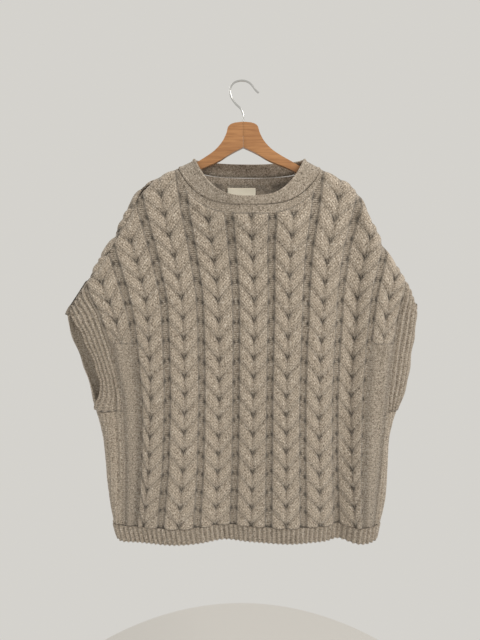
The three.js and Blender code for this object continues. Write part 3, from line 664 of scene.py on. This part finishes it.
# The neckband: plain knitting picked up round the neck, higher behind than in front. It stands up
# round the hanger, and its free edge rolls outward over itself in a soft bead.
turns, rises = 288, 16
neck_centre, neck_half_width, neck_side_level = 12.5, 105, -141
neck_front_depth, neck_back_depth = 44, 33
neck_front_drop, neck_back_drop = 74, 4
turn = 2 * math.pi * np.arange(turns) / turns
across = np.cos(turn)
is_front = np.sin(turn) < -1e-9
seam_points = {side: cloth(side, *neck_seam(side, across)) for side in ("front", "back")}
low = np.where(is_front[:, None], seam_points["front"], seam_points["back"])
round_part = 1 - across**2
hollow = np.maximum(1 - np.abs(across) ** 3, 0)
high = np.stack([
    neck_centre + neck_half_width * across,
    np.where(is_front, -neck_front_depth * round_part**0.38, neck_back_depth * round_part**0.35),
    neck_side_level - np.where(is_front, neck_front_drop * hollow, neck_back_drop * round_part),
], -1)
share = np.linspace(0, 1, rises + 1)
base = low[:, None] + (high - low)[:, None] * share[None, :, None]
base[..., 1] += (np.where(is_front, -3, 3) * round_part)[:, None] * np.sin(math.pi * share)
wrapped = np.concatenate([base[-2:], base, base[:2]])
out = outward_normals(wrapped, (218, 8), -1)[2:-2]
bead = np.exp(-((share - 0.93) / 0.09) ** 2)
chain = np.exp(-((share - 0.04) / 0.05) ** 2)
around = np.cumsum(np.linalg.norm(np.diff(base[:, 8], axis=0, append=base[:1, 8]), axis=1))[:, None]
relief = 3.0 * bead + 1.6 * chain - 1.0 + 0.5 * np.sin(around / 13 + 3 * share) + 0 * around
outer = base + out * relief[..., None]
rise_length = share * 30
# The shade value paints light on the rolled bead.
neckband = knit_wall(
    "neckband_knit", outer, base - out * wall, np.ones((turns, rises), bool), 4,
    np.stack([around / stitch_wide + 0 * share, rise_length / stitch_high + 0 * around], -1),
    np.stack([0.62 + 0.25 * bead + 0 * around, 0 * around + 0 * share], -1), closed=True,
)
neckband.data.materials.append(wool)
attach(neckband, "root")
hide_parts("neckband")


# The label: a small cream woven tape, sewn inside the back neck by its ends. It is blank.
label_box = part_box("neck_label")
label_x = np.linspace(label_box[0].x / metres, label_box[1].x / metres, 25)[:, None]
label_z = np.linspace(-192, -213.5, 9)[None, :]
flat_x, flat_z = np.broadcast_arrays(label_x, label_z)
behind = cloth("back", flat_x, flat_z)
out = outward_normals(behind, (12, 4), 1)
curl = 0.4 * np.sin(flat_x / 7) * ((flat_z + 203) / 11) ** 2
face = behind - out * (wall + 1.8 + curl)[..., None]
label = knit_wall(
    "label_tape", face, face + out * 0.7, np.ones((24, 8), bool), 4,
    np.stack([flat_x, flat_z], -1), np.stack([0 * flat_x + 1, 0 * flat_x], -1),
)
tape = bpy.data.materials.new("cream_tape")
tape.use_nodes = True
tape_shader = tape.node_tree.nodes["Principled BSDF"]
tape_shader.inputs["Roughness"].default_value = 0.7
tape_weave = tape.node_tree.nodes.new("ShaderNodeTexWave")
tape_weave.inputs["Scale"].default_value = 600
tape_weave.inputs["Distortion"].default_value = 2
tape_place = tape.node_tree.nodes.new("ShaderNodeTexCoord")
tape.node_tree.links.new(tape_place.outputs["Object"], tape_weave.inputs["Vector"])
tape_tone = tape.node_tree.nodes.new("ShaderNodeValToRGB")
tape_tone.color_ramp.elements[0].color = (0.80, 0.74, 0.60, 1)
tape_tone.color_ramp.elements[1].color = (0.95, 0.89, 0.75, 1)
tape.node_tree.links.new(tape_weave.outputs[1], tape_tone.inputs[0])
tape.node_tree.links.new(tape_tone.outputs[0], tape_shader.inputs["Base Color"])
label.data.materials.append(tape)
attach(label, "root")
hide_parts("neck_label")


# The hanger's two arms: sawn from a pale hardwood board, stained orange-brown and varnished, and glued
# together in the middle round the hook's stem. The bevel's overlap clamp holds it to almost
# nothing, so the edges stay square.
beech = bpy.data.materials.new("stained_beech")
beech.use_nodes = True
tree = beech.node_tree
wood_shader = tree.nodes["Principled BSDF"]
wood_shader.inputs["Roughness"].default_value = 0.42
wood_shader.inputs["Coat Weight"].default_value = 0.25
wood_shader.inputs["Coat Roughness"].default_value = 0.3
grain_place = tree.nodes.new("ShaderNodeTexCoord").outputs["Object"]
stretch = tree.nodes.new("ShaderNodeMapping")
stretch.inputs["Rotation"].default_value = (0, 0.45, 0)
stretch.inputs["Scale"].default_value = (9, 40, 160)
tree.links.new(grain_place, stretch.inputs["Vector"])
grain = noise(tree, stretch.outputs[0], 2.2, 6, 0.6)
grain_tone = tree.nodes.new("ShaderNodeValToRGB")
grain_tone.color_ramp.elements[0].position = 0.3
grain_tone.color_ramp.elements[0].color = (0.36, 0.15, 0.05, 1)
grain_tone.color_ramp.elements[1].position = 0.7
grain_tone.color_ramp.elements[1].color = (0.60, 0.29, 0.11, 1)
tree.links.new(grain, grain_tone.inputs[0])
tree.links.new(grain_tone.outputs[0], wood_shader.inputs["Base Color"])
grain_bump = tree.nodes.new("ShaderNodeBump")
grain_bump.inputs["Strength"].default_value = 0.15
grain_bump.inputs["Distance"].default_value = 0.0006
tree.links.new(grain, grain_bump.inputs["Height"])
tree.links.new(grain_bump.outputs[0], wood_shader.inputs["Normal"])
for name in ("hanger_arm_left", "hanger_arm_right"):
    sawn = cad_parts[name]
    arm = bpy.data.objects.new(name + "_wood", sawn.data.copy())
    bpy.context.scene.collection.objects.link(arm)
    arm.data.materials.clear()
    arm.data.materials.append(beech)
    weld = arm.modifiers.new("weld", "WELD")
    weld.merge_threshold = 0.00001
    planed = arm.modifiers.new("planed", "BEVEL")
    planed.width = 0.0026
    planed.segments = 4
    planed.limit_method = "ANGLE"
    planed.angle_limit = math.radians(50)
    bpy.context.view_layer.objects.active = arm
    for modifier in ("weld", "planed"):
        bpy.ops.object.modifier_apply(modifier=modifier)
    arm.data.polygons.foreach_set("use_smooth", [True] * len(arm.data.polygons))
    arm.data.set_sharp_from_angle(angle=math.radians(35))
    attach(arm, "root")
    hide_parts(name)


# The hook: one length of bright plated steel wire, bent by machine, its stem screwed into the wood.
# Its tip flicks outward a little, and the origin is under its bend.
hook_points = [
    (0, -98), (0, -76), (0.6, -61), (-4, -49), (-14.5, -39), (-22, -28), (-24.5, -17), (-22, -7),
    (-15, -0.6), (-6, 1.9), (3, 1.8), (11.5, -1.4), (18.5, -8), (24, -15), (30, -20),
]
bend = bpy.data.curves.new("hook_wire", "CURVE")
bend.dimensions = "3D"
bend.bevel_depth = 0.0019
bend.bevel_resolution = 5
bend.use_fill_caps = True
wire_path = smooth_curve(hook_points, 10) * metres
spline = bend.splines.new("POLY")
spline.points.add(len(wire_path) - 1)
for point, (px, pz) in zip(spline.points, wire_path):
    point.co = (px, 0, pz, 1)
hook = bpy.data.objects.new("hook_wire", bend)
bpy.context.scene.collection.objects.link(hook)
plated = bpy.data.materials.new("plated_wire")
plated.use_nodes = True
plated_shader = plated.node_tree.nodes["Principled BSDF"]
plated_shader.inputs["Metallic"].default_value = 1
plated_shader.inputs["Base Color"].default_value = (0.62, 0.62, 0.61, 1)
plated_place = plated.node_tree.nodes.new("ShaderNodeTexCoord").outputs["Object"]
plated_wear = noise(plated.node_tree, plated_place, 260, 3, 0.6)
wear_range = plated.node_tree.nodes.new("ShaderNodeMapRange")
wear_range.inputs["To Min"].default_value = 0.14
wear_range.inputs["To Max"].default_value = 0.3
plated.node_tree.links.new(plated_wear, wear_range.inputs["Value"])
plated.node_tree.links.new(wear_range.outputs[0], plated_shader.inputs["Roughness"])
bend.materials.append(plated)
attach(hook, "root")
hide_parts("hanger_hook")
